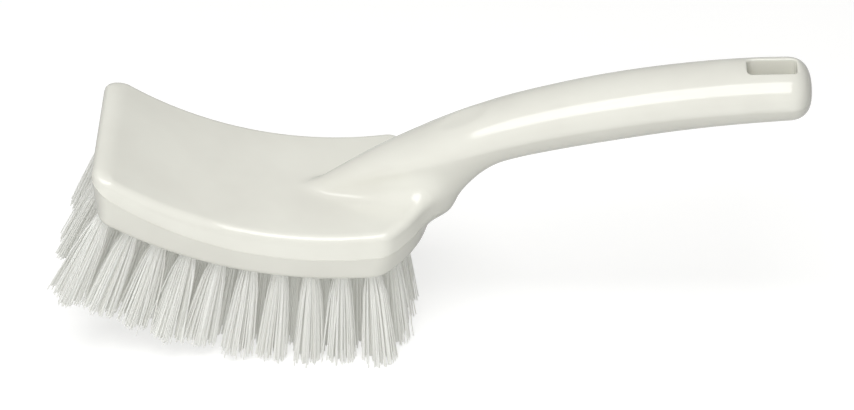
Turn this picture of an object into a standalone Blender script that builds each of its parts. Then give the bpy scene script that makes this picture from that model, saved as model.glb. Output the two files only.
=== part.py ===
"""Cleaning brush with a handle: one plastic moulding and its stapled bristle tufts.

The brush is drawn level, with its block's middle at the origin, under an empty that
tips it into the pose in which it stands on its own bristles. Units are metres, +Z up,
+X towards the handle's end.
"""

import math

import bmesh
import bpy
from mathutils import Matrix, Vector

# Block: a slab bent upwards at both ends, square at the free end and bowed at the handle end
free_end_reach = 0.059
bow_end_reach = 0.062
block_width = 0.070
parting_radius = 0.1388
free_parting_radius = 0.122
top_radius = 0.1332
top_height = 0.0080
top_shift = 0.0018
under_radius = 0.1534
under_drop = 0.0088
free_corner_radius = 0.0085
bow_radius = 0.0474
bow_corner_radius = 0.0055
upper_draft = 0.0012
lower_draft = 0.0024
bow_lower_draft = 0.0004
side_fillet = 0.0030
free_end_fillet = 0.0042
under_fillet = 0.0010

# Handle: an oval swept along one arc that starts inside the block
handle_root_x = 0.010
handle_root_z = -0.001
handle_root_angle = math.radians(40.5)
handle_arc_radius = 0.411
handle_length = 0.1957
handle_width = 0.028
handle_thickness = 0.021
handle_end_round = 0.0095

# Hanging slot through the handle's end
slot_length = 0.0174
slot_width = 0.0094
slot_corner_radius = 0.0018
slot_end_wall = 0.0050
slot_chamfer = 0.0006

# Tufts: folded filaments held by a staple in a blind hole
hole_radius = 0.0026
hole_depth = 0.0115
seat_clearance = 0.0003
side_tuft_margin = 0.0075
free_tuft_margin = 0.0040
bow_tuft_margin = 0.0080
tuft_bow_radius = 0.067
free_set_back = 0.0053
bow_set_forward = 0.0015
staple_height = 0.0016
strand_gap = 0.00028
tip_spread = 0.0036
fan_radius = 0.222
fan_shift = 0.0060
row_fan_radius = 0.42

# Trimmed bristle tips: one long arc, cut flat where the brush stands
trim_radius = 0.1968
trim_depth = 0.0463
stand_flat = 0.0005
stand_angle = math.radians(11.6)

cut_overrun = 0.004

# Tufts in each row across the block, and the rows that stand half a pitch out of step
ROW_TUFTS = (10, 10, 9, 9, 10, 10)
STAGGERED_ROWS = (1, 4)

# Handle sections: place along it, half width, rise above and drop below its centre line,
# as shares of its length, its width and its thickness
HANDLE_SECTION_SHARES = (
    (0.000, 0.09, 0.14, 0.15),
    (0.065, 0.13, 0.14, 0.28),
    (0.132, 0.22, 0.20, 0.45),
    (0.190, 0.30, 0.27, 0.80),
    (0.226, 0.36, 0.29, 1.27),
    (0.255, 0.41, 0.30, 1.24),
    (0.290, 0.440, 0.330, 1.174),
    (0.320, 0.460, 0.370, 0.954),
    (0.350, 0.470, 0.375, 0.768),
    (0.380, 0.470, 0.432, 0.615),
    (0.415, 0.470, 0.458, 0.504),
    (0.460, 0.475, 0.488, 0.477),
    (0.540, 0.485, 0.506, 0.489),
    (0.645, 0.500, 0.524, 0.497),
    (0.790, 0.500, 0.534, 0.469),
    (0.905, 0.493, 0.535, 0.438),
    (1.000, 0.485, 0.513, 0.400),
)
SECTION_SQUARENESS_SHARE = 2.1
END_SQUARENESS_SHARE = 2.6

SIDE_STEPS = 18
CORNER_STEPS = 5
BOW_STEPS = 8
FILLET_STEPS = 3
SECTION_POINTS = 28
HANDLE_STEPS = 38
END_STEPS = 6
HOLE_SIDES = 10
TUFT_STRANDS = 8
GOLDEN_ANGLE = math.radians(137.5)


def clear_scene():
    for thing in list(bpy.data.objects):
        bpy.data.objects.remove(thing, do_unlink=True)


def plastic(name, colour, roughness):
    material = bpy.data.materials.new(name)
    material.use_nodes = True
    shader = material.node_tree.nodes["Principled BSDF"]
    shader.inputs["Base Color"].default_value = (*colour, 1.0)
    shader.inputs["Roughness"].default_value = roughness
    shader.inputs["Metallic"].default_value = 0.0
    material.diffuse_color = (*colour, 1.0)
    return material


def add_object(name, mesh_data, parent, material=None):
    thing = bpy.data.objects.new(name, mesh_data)
    bpy.context.scene.collection.objects.link(thing)
    thing.parent = parent
    if material:
        mesh_data.materials.append(material)
    return thing


def mesh_from(name, form):
    """Turn a bmesh into mesh data with outward faces and smooth rounds."""
    bmesh.ops.recalc_face_normals(form, faces=form.faces)
    data = bpy.data.meshes.new(name)
    form.to_mesh(data)
    form.free()
    data.shade_smooth()
    data.set_sharp_from_angle(angle=math.radians(35))
    return data


def as_guide(thing):
    thing.hide_render = True
    thing.display_type = "WIRE"
    return thing


def loft(form, rings):
    """Join equal rings of points with quads and close both ends."""
    rows = [[form.verts.new(point) for point in ring] for ring in rings]
    count = len(rows[0])
    for low, high in zip(rows, rows[1:]):
        for i in range(count):
            j = (i + 1) % count
            form.faces.new((low[i], low[j], high[j], high[i]))
    return rows


# Block

def bowl_height(x, radius, lowest):
    """Height at x of an arc that curves upwards from its lowest point at x = 0."""
    return lowest + radius - math.sqrt(radius ** 2 - x ** 2)


def under_height(x):
    return bowl_height(x, under_radius, -under_drop)


def parting_height(x):
    return bowl_height(x, free_parting_radius if x < 0 else parting_radius, 0)


def top_face_height(x):
    return bowl_height(x + top_shift, top_radius, top_height)


def arc_points(centre_x, centre_y, radius, start, end, steps):
    """Points of a plan arc, each with its outward normal."""
    points = []
    for i in range(steps + 1):
        angle = start + (end - start) * i / steps
        normal_x = math.cos(angle)
        normal_y = math.sin(angle)
        points.append((centre_x + radius * normal_x, centre_y + radius * normal_y, normal_x, normal_y))
    return points


def bow_centre_x():
    return bow_end_reach - bow_radius


def half_outline():
    """One side of the block in plan at its parting line, from the free end to the bow."""
    half_width = block_width / 2
    corner_y = half_width - bow_corner_radius
    corner_reach = math.sqrt((bow_radius - bow_corner_radius) ** 2 - corner_y ** 2)
    corner_x = bow_centre_x() + corner_reach
    meeting_angle = math.atan2(-corner_y, corner_reach)
    side_start = free_corner_radius - free_end_reach
    points = arc_points(side_start, free_corner_radius - half_width, free_corner_radius,
                        math.pi, 1.5 * math.pi, CORNER_STEPS)
    for i in range(1, SIDE_STEPS):
        points.append((side_start + (corner_x - side_start) * i / SIDE_STEPS, -half_width, 0, -1))
    points += arc_points(corner_x, -corner_y, bow_corner_radius, -math.pi / 2, meeting_angle, CORNER_STEPS)
    last_angle = meeting_angle / (2 * BOW_STEPS - 1)
    points += arc_points(bow_centre_x(), 0, bow_radius, meeting_angle, last_angle, BOW_STEPS - 1)[1:]
    return points


def wall_levels(normal_x):
    """Inset, height function and height offset of each ring, from the underside to the top face."""
    fillet = side_fillet + (free_end_fillet - side_fillet) * max(0, -normal_x)
    draft = lower_draft + (bow_lower_draft - lower_draft) * max(0, normal_x) ** 2
    levels = []
    for i in range(FILLET_STEPS + 1):
        turn = math.pi / 2 * i / FILLET_STEPS
        inset = draft + under_fillet * (1 - math.sin(turn))
        levels.append((inset, under_height, under_fillet * (1 - math.cos(turn))))
    levels.append((0, parting_height, 0))
    for i in range(FILLET_STEPS + 1):
        turn = math.pi / 2 * i / FILLET_STEPS
        inset = upper_draft + fillet * (1 - math.cos(turn))
        levels.append((inset, top_face_height, fillet * (math.sin(turn) - 1)))
    return levels


def make_block():
    """The block: stacked rings of its outline, closed by strips across the two broad faces."""
    outline = half_outline()
    level_count = len(wall_levels(0))
    near = [[] for _ in range(level_count)]
    for x, y, normal_x, normal_y in outline:
        for ring, (inset, height, offset) in zip(near, wall_levels(normal_x)):
            ring_x = x - normal_x * inset
            ring.append(Vector((ring_x, y - normal_y * inset, height(ring_x) + offset)))
    rings = []
    for ring in near:
        far = [Vector((point.x, -point.y, point.z)) for point in reversed(ring)]
        rings.append(ring + far)
    form = bmesh.new()
    rows = loft(form, rings)
    for row in (rows[0], rows[-1]):
        for i in range(len(outline) - 1):
            form.faces.new((row[i], row[i + 1], row[-i - 2], row[-i - 1]))
    return mesh_from("brush_body", form)


# Handle

def handle_frame(distance):
    """Point on the handle's centre line, its direction and its upward normal."""
    angle = handle_root_angle - distance / handle_arc_radius
    x = handle_root_x + handle_arc_radius * (math.sin(handle_root_angle) - math.sin(angle))
    z = handle_root_z + handle_arc_radius * (math.cos(angle) - math.cos(handle_root_angle))
    along = Vector((math.cos(angle), 0, math.sin(angle)))
    upward = Vector((-math.sin(angle), 0, math.cos(angle)))
    return Vector((x, 0, z)), along, upward


def section_at(place):
    """Section shares at a place along the handle, on a smooth curve through the table."""
    table = HANDLE_SECTION_SHARES
    index = 0
    while index < len(table) - 2 and place > table[index + 1][0]:
        index += 1
    before = table[max(index - 1, 0)]
    start = table[index]
    end = table[index + 1]
    after = table[min(index + 2, len(table) - 1)]
    span = end[0] - start[0]
    t = (place - start[0]) / span
    shares = []
    for column in (1, 2, 3):
        start_slope = (end[column] - before[column]) / (end[0] - before[0]) * span
        end_slope = (after[column] - start[column]) / (after[0] - start[0]) * span
        shares.append((2 * t ** 3 - 3 * t ** 2 + 1) * start[column] + (t ** 3 - 2 * t ** 2 + t) * start_slope
                      + (3 * t ** 2 - 2 * t ** 3) * end[column] + (t ** 3 - t ** 2) * end_slope)
    return shares


def rounded(value, squareness):
    """One coordinate of a unit oval that is a little squarer than an ellipse."""
    return math.copysign(abs(value) ** (2 / squareness), value)


def handle_ring(distance, size_share):
    """One oval section of the handle, scaled down towards the rounded end."""
    centre, _, upward = handle_frame(distance)
    width_share, rise_share, drop_share = section_at(distance / handle_length)
    ring = []
    for i in range(SECTION_POINTS):
        angle = 2 * math.pi * i / SECTION_POINTS
        across = handle_width * width_share * rounded(math.cos(angle), SECTION_SQUARENESS_SHARE)
        lift_share = rise_share if math.sin(angle) > 0 else drop_share
        lift = handle_thickness * lift_share * rounded(math.sin(angle), SECTION_SQUARENESS_SHARE)
        ring.append(centre + size_share * (Vector((0, across, 0)) + upward * lift))
    return ring


def make_handle():
    """The handle, from its root inside the block to its rounded end."""
    straight = handle_length - handle_end_round
    rings = [handle_ring(straight * i / HANDLE_STEPS, 1) for i in range(HANDLE_STEPS + 1)]
    for i in range(1, END_STEPS):
        reach = math.sin(math.pi / 2 * i / END_STEPS)
        size_share = (1 - reach ** END_SQUARENESS_SHARE) ** (1 / END_SQUARENESS_SHARE)
        rings.append(handle_ring(straight + handle_end_round * reach, size_share))
    form = bmesh.new()
    rows = loft(form, rings)
    form.faces.new(rows[0])
    form.faces.new(rows[-1])
    return mesh_from("handle_blank", form)


def slot_ring(frame, height, outset):
    """The slot's rounded outline at one height through the handle."""
    centre, along, upward = frame
    ring = []
    half_length = slot_length / 2 - slot_corner_radius
    half_width = slot_width / 2 - slot_corner_radius
    for corner, (side_x, side_y) in enumerate(((1, 1), (-1, 1), (-1, -1), (1, -1))):
        for i in range(CORNER_STEPS):
            angle = math.pi / 2 * (corner + i / (CORNER_STEPS - 1))
            reach = slot_corner_radius + outset
            lengthwise = side_x * half_length + reach * math.cos(angle)
            across = side_y * half_width + reach * math.sin(angle)
            ring.append(centre + along * lengthwise + Vector((0, across, 0)) + upward * height)
    return ring


def make_slot_cutter():
    """The hanging slot, straight through the handle, with a chamfer at both mouths."""
    frame = handle_frame(handle_length - slot_end_wall - slot_length / 2)
    neck = handle_thickness / 2 - slot_chamfer
    outer = neck + cut_overrun
    rings = [slot_ring(frame, -outer, cut_overrun), slot_ring(frame, -neck, 0),
             slot_ring(frame, neck, 0), slot_ring(frame, outer, cut_overrun)]
    form = bmesh.new()
    rows = loft(form, rings)
    form.faces.new(rows[0])
    form.faces.new(rows[-1])
    return mesh_from("slot_cutter", form)


# Tufts

def row_end_x(y, side):
    """Where a row of tufts ends: a margin short of the underside's rounded edge."""
    if side < 0:
        return lower_draft + under_fillet + free_tuft_margin - free_end_reach
    inset = lower_draft + under_fillet + bow_tuft_margin + tuft_bow_radius
    return bow_end_reach - inset + math.sqrt(tuft_bow_radius ** 2 - y ** 2)


def row_pitch():
    """Rows spread evenly between a margin at each long side."""
    return (block_width - 2 * side_tuft_margin) / (len(ROW_TUFTS) - 1)


def tuft_places():
    """Row, column, mouth and outward direction of every tuft."""
    places = []
    fan_centre_z = fan_radius - under_drop
    for row, count in enumerate(ROW_TUFTS):
        y = (row - (len(ROW_TUFTS) - 1) / 2) * row_pitch()
        start_x = row_end_x(y, -1)
        end_x = row_end_x(y, 1)
        if row in STAGGERED_ROWS:
            start_x += free_set_back
            end_x += bow_set_forward
        first = math.asin(start_x / under_radius)
        last = math.asin(end_x / under_radius)
        for column in range(count):
            x = under_radius * math.sin(first + (last - first) * column / (count - 1))
            mouth = Vector((x, y, under_height(x)))
            lean = Vector((x + fan_shift, y * fan_radius / row_fan_radius, mouth.z - fan_centre_z))
            places.append((row, column, mouth, lean.normalized()))
    return places


def tuft_turn(mouth, outward, index):
    """Placing of a tuft or its hole: local -Z points out along the bristles."""
    turn = outward.to_track_quat("-Z", "Y").to_matrix().to_4x4()
    return Matrix.Translation(mouth) @ turn @ Matrix.Rotation(GOLDEN_ANGLE * index, 4, "Z")


def make_drill():
    """All the blind tuft holes, as one cutter."""
    form = bmesh.new()
    reach = hole_depth + cut_overrun
    for index, (_, _, mouth, outward) in enumerate(tuft_places()):
        place = tuft_turn(mouth, outward, index) @ Matrix.Translation((0, 0, hole_depth - reach / 2))
        bmesh.ops.create_cone(form, cap_ends=True, segments=HOLE_SIDES, radius1=hole_radius,
                              radius2=hole_radius, depth=reach, matrix=place)
    return mesh_from("tuft_drill", form)


def trim_distance(start, direction):
    """Length of a strand's edge from its root to the trimmed arc, or to the flat that it stands on."""
    centre_z = trim_radius - trim_depth
    down = Vector((direction.x, direction.z))
    offset = Vector((start.x, start.z - centre_z))
    half = offset.dot(down) / down.length_squared
    rest = (offset.length_squared - trim_radius ** 2) / down.length_squared
    to_arc = -half + math.sqrt(half ** 2 - rest)
    floor_normal = Vector((-math.sin(stand_angle), 0, math.cos(stand_angle)))
    floor_height = centre_z * floor_normal.z - (trim_radius - stand_flat)
    to_floor = (floor_height - start.dot(floor_normal)) / direction.dot(floor_normal)
    return min(to_arc, to_floor)


def make_tuft(name, place):
    """A tuft: the root that fills its hole, its staple, and strands that fan out to the trimmed tips."""
    form = bmesh.new()
    root_radius = hole_radius * math.cos(math.pi / HOLE_SIDES) - seat_clearance
    root_depth = hole_depth - seat_clearance - staple_height
    corners = []
    for i in range(TUFT_STRANDS):
        angle = 2 * math.pi * (i + 0.5) / TUFT_STRANDS
        corners.append(Vector((root_radius * math.cos(angle), root_radius * math.sin(angle), 0)))
    mouth_ring = [form.verts.new(corner) for corner in corners]
    inner_ring = [form.verts.new(corner + Vector((0, 0, root_depth))) for corner in corners]
    middle = form.verts.new((0, 0, 0))
    sectors = []
    for i in range(TUFT_STRANDS):
        j = (i + 1) % TUFT_STRANDS
        form.faces.new((mouth_ring[i], mouth_ring[j], inner_ring[j], inner_ring[i]))
        sectors.append(form.faces.new((middle, mouth_ring[j], mouth_ring[i])))
    add_staple(form, inner_ring)
    bmesh.ops.recalc_face_normals(form, faces=form.faces)
    bmesh.ops.inset_individual(form, faces=sectors, thickness=strand_gap, use_even_offset=True)
    grow_strands(form, sectors, place)
    return mesh_from(name, form)


def add_staple(form, ring):
    """Close the root's inner end with the bar of the staple that the filaments fold over."""
    half = len(ring) // 2
    form.faces.new(ring[:half])
    form.faces.new(ring[half:])
    bar = form.faces.new((ring[half - 1], ring[half], ring[-1], ring[0]))
    top = bmesh.ops.extrude_discrete_faces(form, faces=[bar])["faces"]
    bmesh.ops.translate(form, verts=top[0].verts, vec=(0, 0, staple_height))


def grow_strands(form, sectors, place):
    """Extrude each small triangle along its own direction to the trimmed tips."""
    back = place.inverted()
    strands = bmesh.ops.extrude_discrete_faces(form, faces=sectors)["faces"]
    for strand in strands:
        centre = strand.calc_center_median()
        outward = Vector((centre.x, centre.y, 0)).normalized()
        length = (fan_radius * Vector((0, 0, -1)) + fan_radius / bristle_length() * tip_spread * outward)
        direction = (place.to_3x3() @ length).normalized()
        for vertex in strand.verts:
            start = place @ vertex.co
            vertex.co = back @ (start + direction * trim_distance(start, direction))


def bristle_length():
    """Free length of the tufts at the middle of the block."""
    return trim_depth - under_drop


# Assembly

def cut(body, name, cutter, operation):
    modifier = body.modifiers.new(name, "BOOLEAN")
    modifier.operation = operation
    modifier.solver = "EXACT"
    modifier.object = cutter


def centre_on_origin(stand, pieces):
    """Slide the brush along X until its ends lie equally far from the origin."""
    bpy.context.view_layer.update()
    reach = []
    graph = bpy.context.evaluated_depsgraph_get()
    for piece in pieces:
        shape = piece.evaluated_get(graph).to_mesh()
        places = [(piece.matrix_world @ vertex.co).x for vertex in shape.vertices]
        reach += [min(places), max(places)]
    stand.location.x -= (min(reach) + max(reach)) / 2


def main():
    clear_scene()
    body_plastic = plastic("off_white_plastic", (0.78, 0.78, 0.70), 0.28)
    bristle_plastic = plastic("white_bristle", (0.66, 0.67, 0.63), 0.45)

    stand = bpy.data.objects.new("stand", None)
    bpy.context.scene.collection.objects.link(stand)
    stand.rotation_euler = (0, stand_angle, 0)
    trim_centre_z = (trim_radius - trim_depth) * math.cos(stand_angle)
    stand.location.z = trim_radius - stand_flat - trim_centre_z

    body = add_object("brush_body", make_block(), stand, body_plastic)
    handle = as_guide(add_object("handle_blank", make_handle(), stand))
    drill = as_guide(add_object("tuft_drill", make_drill(), stand))
    slot = as_guide(add_object("slot_cutter", make_slot_cutter(), stand))
    cut(body, "join_handle", handle, "UNION")
    cut(body, "drill_holes", drill, "DIFFERENCE")
    cut(body, "hanging_slot", slot, "DIFFERENCE")

    pieces = [body]
    for index, (row, column, mouth, outward) in enumerate(tuft_places()):
        name = f"tuft_r{row + 1}_c{column + 1:02d}"
        place = tuft_turn(mouth, outward, index)
        tuft = add_object(name, make_tuft(name, place), stand, bristle_plastic)
        tuft.matrix_local = place
        pieces.append(tuft)
    centre_on_origin(stand, pieces)


main()
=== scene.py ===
"""Dressed model of a cleaning brush: its glossy moulding, its bristle tufts and their wire anchors.

Everything is drawn level, with the block's middle at the origin, and then tipped into the
pose in which the brush stands on its own bristles. Units are metres, +X towards the
handle's end, +Z up.
"""

import math

import bmesh
import bpy
import numpy as np
from bpy.props import FloatProperty, FloatVectorProperty, IntProperty, PointerProperty
from mathutils import Matrix, Vector
from mathutils.bvhtree import BVHTree


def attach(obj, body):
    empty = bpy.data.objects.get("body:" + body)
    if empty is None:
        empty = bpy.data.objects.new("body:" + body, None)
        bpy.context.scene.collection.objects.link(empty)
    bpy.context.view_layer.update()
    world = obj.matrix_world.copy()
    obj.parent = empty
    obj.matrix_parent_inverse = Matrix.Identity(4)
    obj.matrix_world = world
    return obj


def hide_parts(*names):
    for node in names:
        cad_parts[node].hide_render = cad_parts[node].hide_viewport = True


bl_info = {
    "name": "Cleaning brush with a handle",
    "version": (1, 0, 0),
    "blender": (4, 5, 0),
    "location": "View3D > Sidebar > Brush",
    "description": "Models a one-piece scrubbing brush with stapled bristle tufts",
    "category": "Add Mesh",
}

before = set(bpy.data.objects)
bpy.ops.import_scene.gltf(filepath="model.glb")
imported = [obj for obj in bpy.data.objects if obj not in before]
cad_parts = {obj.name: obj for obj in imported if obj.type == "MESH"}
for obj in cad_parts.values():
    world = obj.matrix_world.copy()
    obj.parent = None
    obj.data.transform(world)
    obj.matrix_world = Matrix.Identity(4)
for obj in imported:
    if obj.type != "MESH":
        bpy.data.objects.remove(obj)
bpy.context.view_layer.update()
TUFT_NODES = sorted(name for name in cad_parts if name.startswith("tuft_"))
ROW_TUFTS = [sum(name.startswith(f"tuft_r{row}_") for name in TUFT_NODES) for row in range(1, 7)]
STAGGERED_ROWS = (1, 4)

# How finely the curved forms are divided
FREE_END_STEPS, FREE_CORNER_STEPS, SIDE_STEPS, BOW_CORNER_STEPS, BOW_STEPS = 20, 12, 80, 9, 34
UNDER_ROUND_STEPS, LOWER_WALL_STEPS, UPPER_WALL_STEPS, TOP_ROUND_STEPS = 6, 6, 8, 8
UNDER_FACE_STEPS, TOP_FACE_STEPS = 10, 20
HANDLE_SIDES, HANDLE_STEPS, HANDLE_END_STEPS = 72, 150, 14
SLOT_CORNER_STEPS, SLOT_LIP_STEPS = 8, 5
DRILL_SIDES, FILAMENT_SIDES, WIRE_ROUND_STEPS = 24, 5, 2
BLEND_PASSES = 4

# Decimals that tell two vertices apart, and the slope below which a face looks down
PLACE_DIGITS = 7
DOWNWARD = -0.9

# Depth of the witness line round the block, against half its width
GROOVE_DEPTH_SHARE = 1.3

# How a face's rings shrink: how far the last one does, how the rings crowd towards the edge,
# and how much of the shrinking is lengthwise in the middle and more at the sides
SLIT_SHARE, RING_CROWDING, LENGTHWISE_SHARE, SIDE_SHARE = 0.996, 1.4, 0.3, 0.3

# Handle sections: place along it, half width, rise above and drop below its centre line,
# as shares of its length, its width and its thickness
HANDLE_SECTION_SHARES = (
    (0.000, 0.090, 0.140, 0.150),
    (0.065, 0.130, 0.140, 0.280),
    (0.132, 0.220, 0.200, 0.450),
    (0.190, 0.300, 0.270, 0.800),
    (0.226, 0.360, 0.290, 1.330),
    (0.255, 0.410, 0.300, 1.270),
    (0.290, 0.440, 0.330, 1.174),
    (0.320, 0.460, 0.364, 0.954),
    (0.350, 0.470, 0.396, 0.768),
    (0.380, 0.470, 0.430, 0.615),
    (0.415, 0.470, 0.458, 0.504),
    (0.460, 0.475, 0.488, 0.477),
    (0.540, 0.485, 0.506, 0.489),
    (0.645, 0.500, 0.524, 0.497),
    (0.790, 0.500, 0.534, 0.469),
    (0.905, 0.493, 0.535, 0.438),
    (1.000, 0.485, 0.513, 0.400),
)

# Exponents of the section's oval and of the end's round, 2 for a circle, and the share of that
# round at which the handle's last section stands
SECTION_SQUARENESS = 2.1
END_SQUARENESS = 2.6
HANDLE_END_SHARE = 0.985

# The edge where the mould parts on the handle: how far the lower half leans in under it, where
# along the handle it grows to that, and the angle of the section over which it turns
EDGE_LEAN_SHARE = 0.18
EDGE_RISE_SHARES = (0.28, 0.45)
EDGE_ANGLE = math.radians(1.2)

# The slot's mouth: how far round its lip turns, and how many lips wider and higher its flare ends
LIP_ANGLE = math.radians(72)
LIP_FLARE, LIP_OVERRUN = 0.9, 0.2

# The fillet between handle and block: how far inside the joint's two ends it starts and stops
# widening, the height over which it fades down to the underside, the share of it left there, how
# far before the root and how many reaches past the bow points move, the least square of a way
# that is divided by, and the distance under which a point lies on a surface
BLEND_RAMP = 0.006
BLEND_FADE_HEIGHT = 0.010
UNDER_BLEND_SHARE = 0.12
BLEND_MARGIN = 0.01
BLEND_REACHES = 2
SHORTEST_WAY = 0.05
TOUCHING = 1e-5

# Where the far rows lean out less: from the middle row outwards, and towards the free end
UPRIGHT_ACROSS = (0, 0.025)
UPRIGHT_ALONG = (0.020, 0.050)

# One filament: the places at which it is divided, the first of them at the hole's mouth, the
# curve of its bend, how deep the bend starts and how far above the hole's floor it ends
FILAMENT_CUTS = (0.22, 0.42, 0.60, 0.80)
FILAMENT_BEND = 0.62
BEND_DEPTH = 0.0006
FOLD_GAP = 0.0018

# How a tuft's filaments are strewn, in shares of its radius
GOLDEN_ANGLE = math.radians(137.5)
FIRST_SEED = 1000
HOLE_FILL = 0.97
ROOT_JITTER, TIP_JITTER, TUFT_JITTER = 0.05, 0.07, 0.12
CLUMPS, CLUMP_SPREAD, CLUMP_PULL = 6, 0.8, (0.05, 0.45)
STRAY_CHANCE, STRAY_JITTER, LARGEST_SPREAD = 0.05, 0.4, 1.2
TRIM_POWER, CLUMP_TRIM_SHARE = 2.5, 0.35
SHADE_MEAN, SHADE_SPREAD = 0.35, 0.22

# The wire bar: its length in hole radii, thickness, height, rounding and place in the hole
ANCHOR_RADII, WIRE_THICKNESS, WIRE_HEIGHT, WIRE_ROUND, ANCHOR_GAP = 1.8, 0.0004, 0.0014, 0.00008, 0.0010

# Faces that meet at less than these angles are shaded as one, and vertices closer than this are
# merged after the last cut
MOULDING_SMOOTH_ANGLE, FILAMENT_SMOOTH_ANGLE = math.radians(38), math.radians(50)
WELD_DISTANCE = 0.00002

# Studio: place, power, width and height of the softbox, which faces straight down
KEY_SOFTBOX = ((-0.15, -0.475, 1.0), 10.6, 0.90, 0.79)
# Name, place, power, width and height of the fills, which reflections don't show
FILLS = (
    ("front_fill", (0, -1.442, 0.951), 6.3, 1.1, 1.0),
    ("left_fill", (-0.844, -1.206, 0.90), 1.2, 1.1, 1.0),
    ("low_fill", (0, -1.690, 0.230), 5.5, 1.1, 0.6),
)
FILL_TARGET = Vector((0, 0, 0.05))
FLOOR_SIZE = 8
CAMERA_TARGET = Vector((-0.0009, 0, 0.0465))
CAMERA_AZIMUTH, CAMERA_ELEVATION, CAMERA_DISTANCE = math.radians(1.2), math.radians(34), 1.514
SENSOR_WIDTH = 36.0
FOCAL_PIXELS, PICTURE_PIXELS = 4230, 854


def size(name, default, text):
    return FloatProperty(name=name, description=text, default=default, unit="LENGTH", subtype="DISTANCE",
                         precision=5)


def turn(name, degrees, text):
    return FloatProperty(name=name, description=text, default=math.radians(degrees), subtype="ANGLE")


def roughness(name, default, text):
    return FloatProperty(name=name, description=text, default=default, min=0.0, max=1.0)


def colour(name, default, text):
    return FloatVectorProperty(name=name, description=text, default=default, size=3, min=0.0, max=1.0,
                               subtype="COLOR")


class BlockSizes(bpy.types.PropertyGroup):
    """Sizes of the bowed block that holds the tufts."""

    free_end_reach: size("Free end reach", 0.059, "From the block's middle to its straight free end")
    bow_end_reach: size("Bow end reach", 0.062, "From the block's middle to the tip of its bowed end")
    bow_bulge: size("Bow bulge", 0.0012, "How far the bow's edge stands out past that reach")
    width: size("Width", 0.070, "Width at the parting line")
    parting_radius: size("Parting radius", 0.1388, "Radius of the curve that the parting line follows")
    free_parting_radius: size("Free end parting radius", 0.122, "Its radius towards the free end")
    top_radius: size("Top radius", 0.1332, "Radius of the top face's curve")
    top_height: size("Top height", 0.0080, "Lowest height of the top face above the parting line")
    top_shift: size("Top shift", 0.0018, "How far the top curve's lowest point lies towards the free end")
    under_radius: size("Underside radius", 0.1534, "Radius of the underside's curve")
    under_drop: size("Underside drop", 0.0088, "Depth of the underside below the parting line")
    free_corner_radius: size("Free corner radius", 0.0085, "Plan radius of the free end's corners")
    bow_radius: size("Bow radius", 0.0474, "Plan radius of the bowed end")
    bow_corner_radius: size("Bow corner radius", 0.0090, "Plan radius where the bow meets the sides")
    upper_draft: size("Upper draft", 0.0012, "How far the upper wall leans in")
    lower_draft: size("Lower draft", 0.0004, "How far the lower wall leans in")
    free_lower_draft: size("Free end lower draft", 0.0036, "How far it leans in at the free end")
    side_fillet: size("Side fillet", 0.0032, "Round along the top face's sides")
    end_fillet_reach: size("End fillet reach", 0.0080, "How far the free end's round reaches inwards")
    end_fillet_drop: size("End fillet drop", 0.0050, "How far the free end's round reaches down")
    bow_fillet: size("Bow fillet", 0.0046, "Round along the top face's bowed edge")
    under_round: size("Underside round", 0.0020, "Round along the underside's edge")
    under_inset: size("Underside inset", 0.0030, "From the lower wall's foot to the flat of the underside")
    parting_groove: size("Parting groove", 0.00011, "Half width of the witness line where the mould parts")


class HandleSizes(bpy.types.PropertyGroup):
    """Sizes of the handle, its root, its hanging slot and the dent on its neck."""

    root_x: size("Root place", 0.010, "Where the handle's centre line starts inside the block")
    root_z: size("Root height", -0.001, "Height at which it starts")
    root_angle: turn("Root angle", 40.5, "Slope of the centre line at its root")
    arc_radius: size("Arc radius", 0.411, "Radius of the centre line")
    length: size("Length", 0.1961, "Length along the centre line")
    width: size("Width", 0.028, "Width of the grip")
    thickness: size("Thickness", 0.021, "Thickness of the grip")
    end_round: size("End round", 0.0088, "Length of the rounded end")
    slot_length: size("Slot length", 0.0174, "Length of the hanging slot")
    slot_width: size("Slot width", 0.0094, "Width of the hanging slot")
    slot_corner_radius: size("Slot corner radius", 0.0018, "Corner radius of the slot")
    slot_end_wall: size("Slot end wall", 0.0050, "From the slot to the handle's end")
    slot_lip: size("Slot lip", 0.0009, "Round at the slot's mouths")
    slot_draft: size("Slot draft", 0.0004, "How far the slot's walls lean in to its middle")
    dent_place: size("Dent place", 0.0743, "Middle of the shallow dent on the neck, along the centre line")
    dent_length: size("Dent length", 0.0090, "Half length of the dent")
    dent_width: size("Dent width", 0.0054, "Half width of the dent")
    dent_depth: size("Dent depth", 0.0007, "Depth of the dent")
    root_blend: size("Root blend", 0.0118, "Reach of the soft fillet between the handle and the block")
    nose_blend: size("Nose blend", 0.0030, "Reach of the fillet at the root's nose")


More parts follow.
